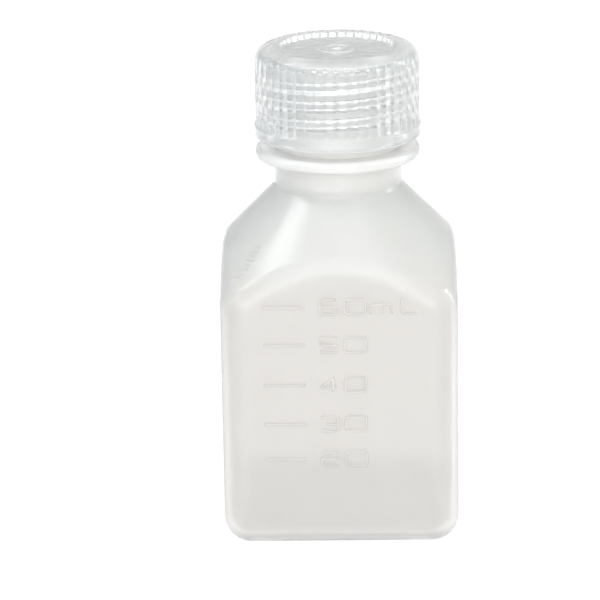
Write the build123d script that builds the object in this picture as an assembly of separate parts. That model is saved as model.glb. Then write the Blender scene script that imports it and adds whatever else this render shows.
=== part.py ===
"""A square 60 mL laboratory bottle with a moulded scale, its ribbed screw cap and the cap's sealing disc.

Millimetres, +Z up. The origin is the centre of the base, and the face with the scale looks towards -Y.
"""
from build123d import *
import math
import os

# Bottle body: a square tube with rounded edges, closed above by a 45 degree shoulder
BODY_WIDTH = 40.5
BODY_CORNER_RADIUS = 4.8
BASE_EDGE_RADIUS = 4.7
SHOULDER_TOP_Z = 60.0
WALL = 1.1
FLOOR = 1.5
BASE_RECESS_WIDTH = 27.5
BASE_RECESS_CORNER_RADIUS = 6.0
BASE_RECESS_DEPTH = 0.9
BASE_RECESS_DRAFT = 75.0
PINCH_SEAM_LENGTH = 16.0
PINCH_SEAM_WIDTH = 0.6
PINCH_SEAM_HEIGHT = 0.3

# Neck, with the bead that stands just under the cap
NECK_RADIUS = 10.9
NECK_TOP_Z = 81.46
NECK_CREASE_RADIUS = 1.0
NECK_LIP_RADIUS = 0.5
BORE_RADIUS = 8.9
BORE_CREASE_RADIUS = 1.5
BEAD_RADIUS = 14.15
BEAD_LOW_Z = 64.7
BEAD_HIGH_Z = 66.7
BEAD_EDGE_RADIUS = 0.85
BEAD_UNDERSIDE_RISE = 0.25

# Screw thread, right-handed, shared by the neck and the cap
THREAD_PITCH = 3.175
THREAD_CREST_WIDTH = 0.8
THREAD_ROOT_WIDTH = 2.4
THREAD_SUNK = 0.3
THREAD_STEP = 15.0
THREAD_RUN_OUT = 45.0
THREAD_DATUM_Z = 70.5
NECK_THREAD_RADIUS = 11.95
NECK_THREAD_START = 450.0
NECK_THREAD_TURNS = 2.25
CAP_THREAD_RADIUS = 11.15
CAP_THREAD_START = 180.0
CAP_THREAD_TURNS = 2.75

# Screw cap
CAP_BOTTOM_Z = 68.4
CAP_TOP_Z = 84.0
CAP_RADIUS = 14.05
CAP_TOP_EDGE_RADIUS = 2.4
CAP_BORE_RADIUS = 12.2
CAP_BORE_EDGE_RADIUS = 0.8
CAP_LEAD_IN = 0.4
CAP_PLATE_UNDERSIDE_Z = 82.3
RIB_COUNT = 48
RIB_GROOVE_RADIUS = 13.6
BAND_RADIUS = 14.3
BAND_TOP_Z = 71.2
BAND_SLOPE = 0.8
BAND_EDGE = 0.3
RECESS_RADIUS = 9.75
RECESS_DEPTH = 0.7
RECESS_DRAFT = 0.4
BOSS_OUTER_RADIUS = 3.4
BOSS_INNER_RADIUS = 2.3
BOSS_HEIGHT = 0.35
GATE_RADIUS = 0.9
GATE_HEIGHT = 0.45

# Sealing disc between the neck's rim and the cap's plate
LINER_RADIUS = 10.8
LINER_THICKNESS = 0.8
LINER_GAP = 0.02

# Scale on the front face: height of each line above the base, and the figure beside it
SCALE_MARKS = {"60": 43.5, "50": 36.8, "40": 29.7, "30": 22.7, "20": 16.4}
UNIT_MARK = "60"
MARK_LINE_LEFT = -12.9
MARK_LINE_LENGTH = 7.2
MARK_HEIGHT = 0.26
MARK_DRAFT = 30.0
MARK_SUNK = 0.4
STROKE_WIDTH = 0.48
STROKE_BEND = 0.5
FIGURE_HEIGHT = 3.0
FIGURE_LEFT = -3.45
FIGURE_WIDTH = 3.3
ZERO_LEFT = 0.75
ZERO_WIDTH = 4.0
UNIT_M_LEFT = 5.15
UNIT_M_WIDTH = 4.0
UNIT_M_HEIGHT = 2.1
UNIT_L_LEFT = 10.35
UNIT_L_WIDTH = 2.95

# Short raised ticks up one front corner of the shoulder
TICK_COUNT = 8
TICK_STEP = 0.9
TICK_WIDTH = 0.36
TICK_LENGTHS = (1.5, 0.9)
TICK_HEIGHT = 0.1
TICK_AZIMUTH = 224.0
TICK_LOW_Z = 47.6

# Strokes of each character in a box one unit wide and one unit high
STROKES = {
    "0": [[(0.5, 1), (0, 1), (0, 0), (0.5, 0)], [(0.5, 1), (1, 1), (1, 0), (0.5, 0)]],
    "2": [[(0, 1), (1, 1), (1, 0.5), (0, 0.5), (0, 0), (1, 0)]],
    "3": [[(0, 1), (1, 1), (1, 0), (0, 0)], [(0.25, 0.5), (1, 0.5)]],
    "4": [[(0.75, 1), (0, 0.3)], [(0, 0.3), (1, 0.3)], [(0.75, 1), (0.75, 0)]],
    "5": [[(1, 1), (0, 1), (0, 0.5), (1, 0.5), (1, 0), (0, 0)]],
    "6": [[(1, 1), (0, 1), (0, 0), (1, 0), (1, 0.5), (0.5, 0.5)], [(0.5, 0.5), (0, 0.5)]],
    "m": [[(0, 0), (0, 1), (1, 1), (1, 0)], [(0.5, 1), (0.5, 0)]],
    "L": [[(0, 1), (0, 0), (1, 0)]],
}


def turned(*profile):
    """Solid of revolution about Z from (radius, height) points."""
    return revolve(Plane.XZ * make_face(Polyline(*profile, close=True)), Axis.Z)


def body_form(half_width, corner_radius, edge_radius, bottom_z, neck_radius, shoulder_z, top_z, crease_radius):
    """Square prism under a 45 degree cone, rounded along every edge, with a round neck on top."""
    footprint = RectangleRounded(2 * half_width, 2 * half_width, corner_radius)
    prism = extrude(Plane.XY.offset(bottom_z) * footprint, top_z - bottom_z)
    prism = fillet(prism.faces().sort_by(Axis.Z)[0].edges(), edge_radius)
    cone_radius = 2 * half_width
    cone_z = shoulder_z - (cone_radius - neck_radius)
    cone = turned(
        (0, -cone_radius),
        (cone_radius, -cone_radius),
        (cone_radius, cone_z),
        (neck_radius, shoulder_z),
        (neck_radius, top_z),
        (0, top_z),
    )
    form = prism & cone
    flat_edge_top_z = shoulder_z - (half_width - neck_radius)
    shoulder_edges = [
        edge
        for edge in form.edges()
        if edge.geom_type in (GeomType.HYPERBOLA, GeomType.BSPLINE) and edge.center().Z < flat_edge_top_z + 1
    ]
    form = fillet(shoulder_edges, edge_radius)
    crease = [
        edge
        for edge in form.edges()
        if edge.geom_type == GeomType.CIRCLE and abs(edge.center().Z - shoulder_z) < crease_radius / 10
    ]
    return fillet(crease, crease_radius)


def thread_ridge(surface_radius, crest_radius, start_angle, turns, shift):
    """Helical ridge standing on a cylinder, outwards or inwards, fading into it at both ends.

    The middle of the ridge is at THREAD_DATUM_Z plus shift where the helix passes angle 0, and
    start_angle counts from there, so it may be more than one turn.
    """
    outwards = 1 if crest_radius > surface_radius else -1
    foot_radius = surface_radius - outwards * THREAD_SUNK
    steps = round(turns * 360 / THREAD_STEP)
    sections = []
    for step in range(steps + 1):
        turned_by = step * THREAD_STEP
        from_end = min(turned_by, steps * THREAD_STEP - turned_by)
        rise = min(1, from_end / THREAD_RUN_OUT)
        start_height = THREAD_SUNK / 2
        full_height = abs(crest_radius - foot_radius)
        crest = foot_radius + outwards * (start_height + (full_height - start_height) * rise)
        degrees = start_angle + turned_by
        middle = THREAD_DATUM_Z + shift + THREAD_PITCH * degrees / 360
        angle = math.radians(degrees)
        corners = [
            (foot_radius, middle - THREAD_ROOT_WIDTH / 2),
            (crest, middle - THREAD_CREST_WIDTH / 2),
            (crest, middle + THREAD_CREST_WIDTH / 2),
            (foot_radius, middle + THREAD_ROOT_WIDTH / 2),
        ]
        points = [(radius * math.cos(angle), radius * math.sin(angle), height) for radius, height in corners]
        sections.append(Wire(Polyline(*points, close=True).edges()))
    return Solid.make_loft(sections)


def stroke(points, left, bottom, width, height):
    """One bent line of even width, its points given in a unit box."""
    inner_width = width - STROKE_WIDTH
    inner_height = height - STROKE_WIDTH
    placed = [
        (left + STROKE_WIDTH / 2 + x * inner_width, bottom + STROKE_WIDTH / 2 + y * inner_height) for x, y in points
    ]
    if len(placed) == 2:
        path = Line(*placed)
    else:
        path = FilletPolyline(*placed, radius=STROKE_BEND)
    return trace(path, STROKE_WIDTH)


def character(name, left, bottom, width, height):
    return [stroke(points, left, bottom, width, height) for points in STROKES[name]]


def scale_marks():
    """Lines and figures of the scale, as solids that stand out of the front face."""
    shapes = []
    for figure, height in SCALE_MARKS.items():
        baseline = height - FIGURE_HEIGHT / 2
        line_middle = MARK_LINE_LEFT + MARK_LINE_LENGTH / 2
        shapes.append(Pos(line_middle, height) * Rectangle(MARK_LINE_LENGTH, STROKE_WIDTH))
        shapes += character(figure[0], FIGURE_LEFT, baseline, FIGURE_WIDTH, FIGURE_HEIGHT)
        shapes += character(figure[1], ZERO_LEFT, baseline, ZERO_WIDTH, FIGURE_HEIGHT)
        if figure == UNIT_MARK:
            shapes += character("m", UNIT_M_LEFT, baseline, UNIT_M_WIDTH, UNIT_M_HEIGHT)
            shapes += character("L", UNIT_L_LEFT, baseline, UNIT_L_WIDTH, FIGURE_HEIGHT)
    sheet = Sketch() + shapes
    front = Plane(origin=(0, -BODY_WIDTH / 2, 0), x_dir=(1, 0, 0), z_dir=(0, -1, 0))
    return extrude(front * sheet, MARK_HEIGHT, taper=MARK_DRAFT) + extrude(front * sheet, -MARK_SUNK)


def shoulder_ticks():
    """Row of short raised bars that climbs the cone of the shoulder."""
    slope = math.sqrt(0.5)
    azimuth = math.radians(TICK_AZIMUTH)
    outward = Vector(math.cos(azimuth), math.sin(azimuth), 0)
    across = Vector(-math.sin(azimuth), math.cos(azimuth), 0)
    ticks = []
    for index in range(TICK_COUNT):
        height = TICK_LOW_Z + index * TICK_STEP * slope
        radius = NECK_RADIUS + SHOULDER_TOP_Z - height
        spot = Plane(origin=outward * radius + Vector(0, 0, height), x_dir=across, z_dir=outward + Vector(0, 0, 1))
        tick = Rectangle(TICK_LENGTHS[index % len(TICK_LENGTHS)], TICK_WIDTH)
        ticks.append(extrude(spot.offset(-MARK_SUNK) * tick, MARK_SUNK + TICK_HEIGHT))
    return ticks


def bead():
    """Ring on the neck with a rounded rim and an underside that slopes up to the rim."""
    ring = turned(
        (BORE_RADIUS + WALL, BEAD_LOW_Z - BEAD_UNDERSIDE_RISE),
        (NECK_RADIUS, BEAD_LOW_Z - BEAD_UNDERSIDE_RISE),
        (BEAD_RADIUS, BEAD_LOW_Z),
        (BEAD_RADIUS, BEAD_HIGH_Z),
        (BORE_RADIUS + WALL, BEAD_HIGH_Z),
    )
    rim = [edge for edge in ring.edges().filter_by(GeomType.CIRCLE) if edge.radius > BEAD_RADIUS - WALL]
    return fillet(rim, BEAD_EDGE_RADIUS)


def base_panel(lift):
    """Raised square with sloping sides: the pushed-up base, or with lift the inside of that base."""
    footprint = RectangleRounded(BASE_RECESS_WIDTH, BASE_RECESS_WIDTH, BASE_RECESS_CORNER_RADIUS)
    return extrude(Plane.XY.offset(lift) * footprint, BASE_RECESS_DEPTH, taper=BASE_RECESS_DRAFT)


def pinch_seam():
    """Ridge across the middle of the pushed-up base, where the mould closed."""
    foot = Pos(0, 0, BASE_RECESS_DEPTH - PINCH_SEAM_HEIGHT)
    upright = (Align.CENTER, Align.CENTER, Align.MIN)
    return foot * Box(PINCH_SEAM_LENGTH, PINCH_SEAM_WIDTH, PINCH_SEAM_HEIGHT + FLOOR / 2, align=upright)


def make_bottle():
    half_width = BODY_WIDTH / 2
    inner_shoulder_z = SHOULDER_TOP_Z + NECK_RADIUS - BORE_RADIUS - WALL * math.sqrt(2)
    outside = body_form(
        half_width, BODY_CORNER_RADIUS, BASE_EDGE_RADIUS, 0, NECK_RADIUS, SHOULDER_TOP_Z, NECK_TOP_Z,
        NECK_CREASE_RADIUS,
    )
    outside = fillet(outside.edges().sort_by(Axis.Z)[-1], NECK_LIP_RADIUS)
    inside = body_form(
        half_width - WALL, BODY_CORNER_RADIUS - WALL, BASE_EDGE_RADIUS - WALL, FLOOR, BORE_RADIUS,
        inner_shoulder_z, NECK_TOP_Z + WALL, BORE_CREASE_RADIUS,
    )
    inside = inside - base_panel(FLOOR)
    half_pitch = THREAD_PITCH / 2
    thread = thread_ridge(NECK_RADIUS, NECK_THREAD_RADIUS, NECK_THREAD_START, NECK_THREAD_TURNS, -half_pitch)
    bottle = outside + bead() + thread + scale_marks() + shoulder_ticks()
    return bottle - inside - base_panel(0) + pinch_seam()


def ribbed_prism():
    """Prism whose outline is a ring of rounded ribs that meet in narrow grooves."""
    step = 360 / RIB_COUNT
    arcs = []
    for rib in range(RIB_COUNT):
        start = Vector(RIB_GROOVE_RADIUS, 0).rotate(Axis.Z, rib * step)
        crest = Vector(CAP_RADIUS, 0).rotate(Axis.Z, (rib + 0.5) * step)
        end = Vector(RIB_GROOVE_RADIUS, 0).rotate(Axis.Z, (rib + 1) * step)
        arcs.append(ThreePointArc(start, crest, end))
    outline = make_face(Curve() + arcs)
    return extrude(Plane.XY.offset(CAP_BOTTOM_Z) * outline, CAP_TOP_Z - CAP_BOTTOM_Z)


def cap_crown():
    """Ribbed skirt under a rounded top edge."""
    blank = turned((0, CAP_BOTTOM_Z), (CAP_RADIUS, CAP_BOTTOM_Z), (CAP_RADIUS, CAP_TOP_Z), (0, CAP_TOP_Z))
    blank = fillet(blank.edges().sort_by(Axis.Z)[-1], CAP_TOP_EDGE_RADIUS)
    return blank & ribbed_prism()


def cap_band():
    """Plain band that ends the ribs at the mouth of the cap."""
    return turned(
        (CAP_BORE_RADIUS, CAP_BOTTOM_Z),
        (BAND_RADIUS - BAND_EDGE, CAP_BOTTOM_Z),
        (BAND_RADIUS, CAP_BOTTOM_Z + BAND_EDGE),
        (BAND_RADIUS, BAND_TOP_Z - BAND_SLOPE),
        (RIB_GROOVE_RADIUS, BAND_TOP_Z),
        (CAP_BORE_RADIUS, BAND_TOP_Z),
    )


def cap_bore():
    """Space inside the skirt, with a rounded corner under the plate and a lead-in at the mouth."""
    bore = turned(
        (0, CAP_BOTTOM_Z - WALL),
        (CAP_BORE_RADIUS + CAP_LEAD_IN, CAP_BOTTOM_Z - WALL),
        (CAP_BORE_RADIUS + CAP_LEAD_IN, CAP_BOTTOM_Z),
        (CAP_BORE_RADIUS, CAP_BOTTOM_Z + CAP_LEAD_IN),
        (CAP_BORE_RADIUS, CAP_PLATE_UNDERSIDE_Z),
        (0, CAP_PLATE_UNDERSIDE_Z),
    )
    return fillet(bore.edges().filter_by(GeomType.CIRCLE).sort_by(Axis.Z)[-1], CAP_BORE_EDGE_RADIUS)


def cap_recess():
    floor_z = CAP_TOP_Z - RECESS_DEPTH
    return turned(
        (0, floor_z),
        (RECESS_RADIUS - RECESS_DRAFT, floor_z),
        (RECESS_RADIUS, CAP_TOP_Z),
        (RECESS_RADIUS, CAP_TOP_Z + WALL),
        (0, CAP_TOP_Z + WALL),
    )


def recess_boss():
    """Low ring with the gate mark in its centre, on the floor of the recess."""
    foot_z = CAP_TOP_Z - RECESS_DEPTH - WALL / 2
    ring_top_z = CAP_TOP_Z - RECESS_DEPTH + BOSS_HEIGHT
    gate_top_z = CAP_TOP_Z - RECESS_DEPTH + GATE_HEIGHT
    ring = turned(
        (BOSS_INNER_RADIUS, foot_z),
        (BOSS_OUTER_RADIUS, foot_z),
        (BOSS_OUTER_RADIUS, ring_top_z),
        (BOSS_INNER_RADIUS, ring_top_z),
    )
    gate = turned((0, foot_z), (GATE_RADIUS, foot_z), (GATE_RADIUS, gate_top_z), (0, gate_top_z))
    return ring + gate


def make_cap():
    shell = cap_crown() + cap_band() - cap_bore() - cap_recess() + recess_boss()
    thread = thread_ridge(CAP_BORE_RADIUS, CAP_THREAD_RADIUS, CAP_THREAD_START, CAP_THREAD_TURNS, 0)
    return shell + thread


def make_liner():
    bottom = Plane.XY.offset(NECK_TOP_Z + LINER_GAP)
    return extrude(bottom * Circle(LINER_RADIUS), LINER_THICKNESS)


PARTS = {
    "bottle": make_bottle,
    "screw_cap": make_cap,
    "cap_liner": make_liner,
}

os.makedirs("parts", exist_ok=True)
for part_name, make_part in PARTS.items():
    part = make_part()
    export_step(part, f"parts/{part_name}.step")
    box = part.bounding_box()
    print(part_name, round(part.volume), len(part.solids()), len(part.faces()), box.min, box.max)
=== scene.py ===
"""Looks for the square laboratory bottle: materials, floor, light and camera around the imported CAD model.

Lengths are in metres, angles in degrees, light powers in watts and noise scales in waves to a metre.
"""
import math

import bpy
from mathutils import Matrix, Vector

# Camera: where it stands, and how far its aim point lies off the middle of the view
CAMERA_DISTANCE = 0.5695
CAMERA_ELEVATION = 18.0
CAMERA_AZIMUTH = 0.6
CAMERA_ROLL = 0.743
CAMERA_LENS = 195.1
CAMERA_CLIP_END = 10.0
AIM_HEIGHT = 0.030375
AIM_RIGHT = 0.01242
AIM_DOWN = 0.01355

# Air round the studio: its colour to the left, in front and behind, and to the right. The white and the
# fade beside it are shares of the way from left to right, counted from the middle. The air is brightest
# on the camera's side, a little to the right and below the horizon, and dimmest opposite.
WORLD_LEFT = (0.48, 0.54, 0.57)
WORLD_MIDDLE = (1.0, 1.0, 1.0)
WORLD_RIGHT = (0.42, 0.455, 0.45)
WORLD_WHITE_HALF = 0.15
WORLD_FADE = 0.15
WORLD_BRIGHT_SIDE = (0.2, -0.94, -0.28)
WORLD_BRIGHT = 3.15
WORLD_DIM = 0.65

# Lamps: a large one high on the left and a tall narrow one on the right
LAMPS = {
    "left_softbox": {
        "place": (-0.41, 0.02, 0.65),
        "target": (0.0, 0.0, 0.05),
        "width": 0.19,
        "height": 0.3,
        "power": 0.75,
    },
    "right_strip": {
        "place": (0.65, 0.18, 0.28),
        "target": (0.0, 0.0, 0.0),
        "width": 0.03,
        "height": 0.5,
        "power": 1.2,
    },
}
LIGHT_BOUNCES = 32

# Table: white, and lit from underneath along a strip through the middle, which fades out at its sides
FLOOR_HALF = 1.5
FLOOR_ALBEDO = 0.18
FLOOR_ROUGHNESS = 0.15
FLOOR_GLOW_COLOUR = (1.0, 1.0, 1.0)
FLOOR_GLOW = 0.9
FLOOR_SIDE_GLOW = 0.25
FLOOR_GLOW_HALF = 0.095
FLOOR_GLOW_FADE = 0.1

# Bottle plastic: two tints of the walls, which blend in clouds, and the tints of the thick base, the
# shoulder, the neck and the stretch under the cap, each with the heights where its blend starts and ends.
# The base's darker grey is partly its thick plastic and partly painted shade where the bottle stands on
# the table. The paler neck and stretch under the cap are painted light against the shade of the cap and
# shoulder.
WALL_TINTS = ((0.728, 0.704, 0.68), (0.742, 0.718, 0.696))
BASE_THICK_AND_PAINTED_SHADE_TINT = (0.42, 0.42, 0.415)
BASE_THICK_AND_PAINTED_SHADE_BLEND = (0.0, 0.004)
SHOULDER_TINT = (0.722, 0.724, 0.708)
SHOULDER_BLEND = (0.045, 0.05)
NECK_PAINTED_LIGHT_TINT = (0.87, 0.86, 0.84)
NECK_PAINTED_LIGHT_BLEND = (0.058, 0.062)
UNDER_CAP_PAINTED_LIGHT_TINT = (0.985, 0.985, 0.98)
UNDER_CAP_PAINTED_LIGHT_BLEND = (0.067, 0.069)
BOTTLE_CLOUD_SCALE = 60.0
BOTTLE_ROUGHNESS = (0.16, 0.22)
BOTTLE_ROUGHNESS_SCALE = 400.0
BOTTLE_RIPPLE_SCALE = 150.0
BOTTLE_RIPPLE_HEIGHT = 0.00005
BOTTLE_IOR = 1.5

# Cap plastic
CAP_TINTS = ((0.992, 0.997, 0.994), (0.995, 0.998, 0.996))
CAP_CLOUD_SCALE = 90.0
CAP_ROUGHNESS = (0.14, 0.18)
CAP_ROUGHNESS_SCALE = 500.0
CAP_RIPPLE_SCALE = 140.0
CAP_RIPPLE_HEIGHT = 0.0002
CAP_IOR = 1.49

# Liner plastic
LINER_TINTS = ((0.95, 0.96, 0.955), (0.97, 0.98, 0.975))
LINER_CLOUD_SCALE = 120.0
LINER_ROUGHNESS = (0.3, 0.4)
LINER_ROUGHNESS_SCALE = 600.0
LINER_IOR = 1.5

# Share of the light on each plastic's outside that goes straight in, the rest being scattered, and how
# deep it is scattered. The bottle's share changes from body to neck between two heights.
BODY_CLEAR = 0.5
NECK_CLEAR = 0.45
NECK_CLEAR_BLEND = (0.0605, 0.0635)
CAP_CLEAR = 0.9
LINER_CLEAR = 0.5
BOTTLE_DEPTH = 0.003
CAP_DEPTH = 0.003
LINER_DEPTH = 0.001

NOISE_DETAIL = 2.0


def aim_camera():
    """Camera in front of the bottle, a little above it, with the bottle right of and below the middle."""
    elevation = math.radians(CAMERA_ELEVATION)
    roll = math.radians(CAMERA_ROLL)
    right = Vector((1, 0, 0))
    forward = Vector((0, math.cos(elevation), -math.sin(elevation)))
    up = Vector((0, math.sin(elevation), math.cos(elevation)))
    place = Vector((0, 0, AIM_HEIGHT)) - forward * CAMERA_DISTANCE
    right, up = right * math.cos(roll) - up * math.sin(roll), right * math.sin(roll) + up * math.cos(roll)
    swing = math.atan(AIM_RIGHT)
    right, forward = (
        right * math.cos(swing) + forward * math.sin(swing),
        forward * math.cos(swing) - right * math.sin(swing),
    )
    tip = -math.atan(AIM_DOWN * math.cos(swing))
    up, forward = up * math.cos(tip) + forward * math.sin(tip), forward * math.cos(tip) - up * math.sin(tip)
    turn = Matrix((right, up, -forward)).transposed()
    around = Matrix.Rotation(math.radians(CAMERA_AZIMUTH), 3, "Z")
    data = bpy.data.cameras.new("camera")
    data.lens = CAMERA_LENS
    data.clip_end = CAMERA_CLIP_END
    camera = bpy.data.objects.new("camera", data)
    camera.matrix_world = Matrix.Translation(around @ place) @ (around @ turn).to_4x4()
    bpy.context.scene.collection.objects.link(camera)
    bpy.context.scene.camera = camera


def node_material(name):
    """New material with its Principled shader and the coordinates that its textures use."""
    material = bpy.data.materials.new(name)
    material.use_nodes = True
    shader = material.node_tree.nodes["Principled BSDF"]
    place = material.node_tree.nodes.new("ShaderNodeTexCoord").outputs["Object"]
    return material, shader, place


def along(shaded, place, axis):
    """One coordinate of the place, as a node's value. Shaded is a material or the world."""
    parts = shaded.node_tree.nodes.new("ShaderNodeSeparateXYZ")
    shaded.node_tree.links.new(place, parts.inputs[0])
    return parts.outputs[axis]


def noise(material, place, scale):
    """Value that wanders between 0 and 1 over the surface."""
    texture = material.node_tree.nodes.new("ShaderNodeTexNoise")
    texture.inputs["Scale"].default_value = scale
    texture.inputs["Detail"].default_value = NOISE_DETAIL
    material.node_tree.links.new(place, texture.inputs["Vector"])
    return texture.outputs[0]


def spread(material, value, low, high):
    """Stretches a 0 to 1 value to the range low to high."""
    node = material.node_tree.nodes.new("ShaderNodeMapRange")
    node.inputs["To Min"].default_value = low
    node.inputs["To Max"].default_value = high
    material.node_tree.links.new(value, node.inputs["Value"])
    return node.outputs["Result"]


def ramp(material, value, start, end):
    """0 below start, 1 above end, smooth between them."""
    node = material.node_tree.nodes.new("ShaderNodeMapRange")
    node.interpolation_type = "SMOOTHSTEP"
    node.inputs["From Min"].default_value = start
    node.inputs["From Max"].default_value = end
    material.node_tree.links.new(value, node.inputs["Value"])
    return node.outputs["Result"]


def tint(material, value, first, second):
    """Blend of two colours, each given as numbers or as another blend."""
    node = material.node_tree.nodes.new("ShaderNodeMix")
    node.data_type = "RGBA"
    for socket, colour in (("A", first), ("B", second)):
        if isinstance(colour, tuple):
            node.inputs[socket].default_value = (*colour, 1)
        else:
            material.node_tree.links.new(colour, node.inputs[socket])
    material.node_tree.links.new(value, node.inputs["Factor"])
    return node.outputs["Result"]


def milky(material, shader, clear_share, depth):
    """Lets clear_share of the light on the outside straight in, and all light on the inside straight out.

    The share is a number or another node's value. The rest of the light scatters under the surface, about
    as deep as the given depth.
    """
    side = material.node_tree.nodes.new("ShaderNodeNewGeometry").outputs["Backfacing"]
    share = material.node_tree.nodes.new("ShaderNodeMapRange")
    share.inputs["To Max"].default_value = 1.0
    if isinstance(clear_share, float):
        share.inputs["To Min"].default_value = clear_share
    else:
        material.node_tree.links.new(clear_share, share.inputs["To Min"])
    material.node_tree.links.new(side, share.inputs["Value"])
    material.node_tree.links.new(share.outputs["Result"], shader.inputs["Transmission Weight"])
    shader.inputs["Subsurface Weight"].default_value = 1.0
    shader.inputs["Subsurface Radius"].default_value = (1.0, 1.0, 1.0)
    shader.inputs["Subsurface Scale"].default_value = depth


def roughen(material, shader, place, limits, scale):
    """Roughness that wanders between two limits."""
    roughness = spread(material, noise(material, place, scale), *limits)
    material.node_tree.links.new(roughness, shader.inputs["Roughness"])


def ripple(material, shader, place, height, scale):
    """Slight unevenness of the moulded surface."""
    node = material.node_tree.nodes.new("ShaderNodeBump")
    node.inputs["Distance"].default_value = height
    node.inputs["Strength"].default_value = 1.0
    material.node_tree.links.new(noise(material, place, scale), node.inputs["Height"])
    material.node_tree.links.new(node.outputs["Normal"], shader.inputs["Normal"])


def bottle_plastic():
    """Milky natural plastic, warmer in the flat walls and greyer in the thick base, the grey partly painted
    shade where the bottle stands; paler up the neck and under the cap, as painted light against their
    shade.
    """
    material, shader, place = node_material("bottle_plastic")
    height = along(material, place, "Z")
    wall = tint(material, noise(material, place, BOTTLE_CLOUD_SCALE), *WALL_TINTS)
    # The base is greyed partly for its thick plastic and partly as painted shade where it stands on the
    # table.
    colour = tint(material, ramp(material, height, *BASE_THICK_AND_PAINTED_SHADE_BLEND), BASE_THICK_AND_PAINTED_SHADE_TINT, wall)
    # Of these, the neck and the stretch under the cap are paled as painted light against the shade of the
    # cap and shoulder.
    for blend, colour_above in (
        (SHOULDER_BLEND, SHOULDER_TINT),
        (NECK_PAINTED_LIGHT_BLEND, NECK_PAINTED_LIGHT_TINT),
        (UNDER_CAP_PAINTED_LIGHT_BLEND, UNDER_CAP_PAINTED_LIGHT_TINT),
    ):
        colour = tint(material, ramp(material, height, *blend), colour, colour_above)
    material.node_tree.links.new(colour, shader.inputs["Base Color"])
    roughen(material, shader, place, BOTTLE_ROUGHNESS, BOTTLE_ROUGHNESS_SCALE)
    ripple(material, shader, place, BOTTLE_RIPPLE_HEIGHT, BOTTLE_RIPPLE_SCALE)
    shader.inputs["IOR"].default_value = BOTTLE_IOR
    up_neck = ramp(material, height, *NECK_CLEAR_BLEND)
    milky(material, shader, spread(material, up_neck, BODY_CLEAR, NECK_CLEAR), BOTTLE_DEPTH)
    return material


def cap_plastic():
    """Nearly clear plastic with a slightly uneven surface."""
    material, shader, place = node_material("cap_plastic")
    colour = tint(material, noise(material, place, CAP_CLOUD_SCALE), *CAP_TINTS)
    material.node_tree.links.new(colour, shader.inputs["Base Color"])
    roughen(material, shader, place, CAP_ROUGHNESS, CAP_ROUGHNESS_SCALE)
    ripple(material, shader, place, CAP_RIPPLE_HEIGHT, CAP_RIPPLE_SCALE)
    shader.inputs["IOR"].default_value = CAP_IOR
    milky(material, shader, CAP_CLEAR, CAP_DEPTH)
    return material


def liner_plastic():
    """Soft milky disc with a dull surface."""
    material, shader, place = node_material("liner_plastic")
    colour = tint(material, noise(material, place, LINER_CLOUD_SCALE), *LINER_TINTS)
    material.node_tree.links.new(colour, shader.inputs["Base Color"])
    roughen(material, shader, place, LINER_ROUGHNESS, LINER_ROUGHNESS_SCALE)
    shader.inputs["IOR"].default_value = LINER_IOR
    milky(material, shader, LINER_CLEAR, LINER_DEPTH)
    return material


def floor_paint():
    """White table with a light polish, lit from underneath so that it hardly takes a shadow."""
    material, shader, place = node_material("floor_paint")
    shader.inputs["Base Color"].default_value = (FLOOR_ALBEDO, FLOOR_ALBEDO, FLOOR_ALBEDO, 1)
    shader.inputs["Roughness"].default_value = FLOOR_ROUGHNESS
    shader.inputs["Emission Color"].default_value = (*FLOOR_GLOW_COLOUR, 1)
    from_middle = material.node_tree.nodes.new("ShaderNodeMath")
    from_middle.operation = "ABSOLUTE"
    material.node_tree.links.new(along(material, place, "X"), from_middle.inputs[0])
    past_strip = ramp(material, from_middle.outputs[0], FLOOR_GLOW_HALF, FLOOR_GLOW_HALF + FLOOR_GLOW_FADE)
    glow = spread(material, past_strip, FLOOR_GLOW, FLOOR_SIDE_GLOW)
    material.node_tree.links.new(glow, shader.inputs["Emission Strength"])
    return material


def make_floor():
    """Square sheet at the height that the bottle stands on."""
    mesh = bpy.data.meshes.new("floor")
    corners = [(x * FLOOR_HALF, y * FLOOR_HALF, 0) for x, y in ((-1, -1), (1, -1), (1, 1), (-1, 1))]
    mesh.from_pydata(corners, [], [(0, 1, 2, 3)])
    floor = bpy.data.objects.new("floor", mesh)
    bpy.context.scene.collection.objects.link(floor)
    mesh.materials.append(floor_paint())


def area_light(name, place, target, width, height, power):
    """Rectangular lamp at the place, facing the target."""
    data = bpy.data.lights.new(name, "AREA")
    data.shape = "RECTANGLE"
    data.size = width
    data.size_y = height
    data.energy = power
    light = bpy.data.objects.new(name, data)
    light.location = place
    light.rotation_euler = (Vector(target) - Vector(place)).to_track_quat("-Z", "Y").to_euler()
    bpy.context.scene.collection.objects.link(light)


def world_colour(world, way):
    """White in front and behind, cooler and darker at the sides."""
    middle = 0.5
    from_left = world.node_tree.nodes.new("ShaderNodeMapRange")
    from_left.inputs["From Min"].default_value = -1.0
    world.node_tree.links.new(along(world, way, "X"), from_left.inputs["Value"])
    hues = world.node_tree.nodes.new("ShaderNodeValToRGB")
    hues.color_ramp.interpolation = "EASE"
    left, right = hues.color_ramp.elements
    left.position = middle - WORLD_WHITE_HALF - WORLD_FADE
    left.color = (*WORLD_LEFT, 1)
    right.position = middle + WORLD_WHITE_HALF + WORLD_FADE
    right.color = (*WORLD_RIGHT, 1)
    for stop in (middle - WORLD_WHITE_HALF, middle + WORLD_WHITE_HALF):
        hues.color_ramp.elements.new(stop).color = (*WORLD_MIDDLE, 1)
    world.node_tree.links.new(from_left.outputs["Result"], hues.inputs["Fac"])
    return hues.outputs["Color"]


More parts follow.
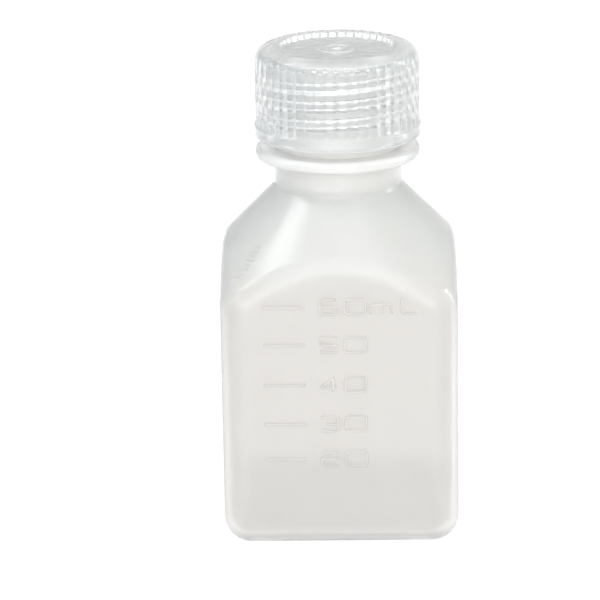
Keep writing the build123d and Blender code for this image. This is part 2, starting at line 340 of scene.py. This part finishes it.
def world_level(world, way):
    """Brightness that falls evenly from the bright side to the side opposite."""
    towards = world.node_tree.nodes.new("ShaderNodeVectorMath")
    towards.operation = "DOT_PRODUCT"
    towards.inputs[1].default_value = WORLD_BRIGHT_SIDE
    world.node_tree.links.new(way, towards.inputs[0])
    level = world.node_tree.nodes.new("ShaderNodeMapRange")
    level.inputs["From Min"].default_value = -1.0
    level.inputs["To Min"].default_value = WORLD_DIM
    level.inputs["To Max"].default_value = WORLD_BRIGHT
    world.node_tree.links.new(towards.outputs["Value"], level.inputs["Value"])
    return level.outputs["Result"]


def make_world():
    """Air all round the studio, which lights the bottle and shows in its reflections."""
    world = bpy.data.worlds.new("studio")
    world.use_nodes = True
    bpy.context.scene.world = world
    background = world.node_tree.nodes["Background"]
    way = world.node_tree.nodes.new("ShaderNodeTexCoord").outputs["Generated"]
    world.node_tree.links.new(world_colour(world, way), background.inputs["Color"])
    world.node_tree.links.new(world_level(world, way), background.inputs["Strength"])


def raise_bounces():
    """Lets light cross the many walls of a clear cap on a milky neck."""
    light_paths = bpy.context.scene.cycles
    light_paths.max_bounces = LIGHT_BOUNCES
    light_paths.diffuse_bounces = LIGHT_BOUNCES
    light_paths.glossy_bounces = LIGHT_BOUNCES
    light_paths.transmission_bounces = LIGHT_BOUNCES


def dress(node, material):
    """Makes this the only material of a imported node."""
    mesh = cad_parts[node].data
    mesh.materials.clear()
    mesh.materials.append(material)


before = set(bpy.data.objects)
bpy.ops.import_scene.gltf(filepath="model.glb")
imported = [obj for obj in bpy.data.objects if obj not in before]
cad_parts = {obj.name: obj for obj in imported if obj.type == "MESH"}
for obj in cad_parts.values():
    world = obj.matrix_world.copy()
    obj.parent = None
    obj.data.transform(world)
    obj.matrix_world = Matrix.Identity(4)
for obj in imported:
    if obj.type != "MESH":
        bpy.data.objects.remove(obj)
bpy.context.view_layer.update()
dress("bottle", bottle_plastic())
dress("screw_cap", cap_plastic())
dress("cap_liner", liner_plastic())
make_floor()
make_world()
for lamp_name, lamp in LAMPS.items():
    area_light(lamp_name, **lamp)
aim_camera()
bpy.context.scene.view_settings.view_transform = "Standard"
raise_bounces()
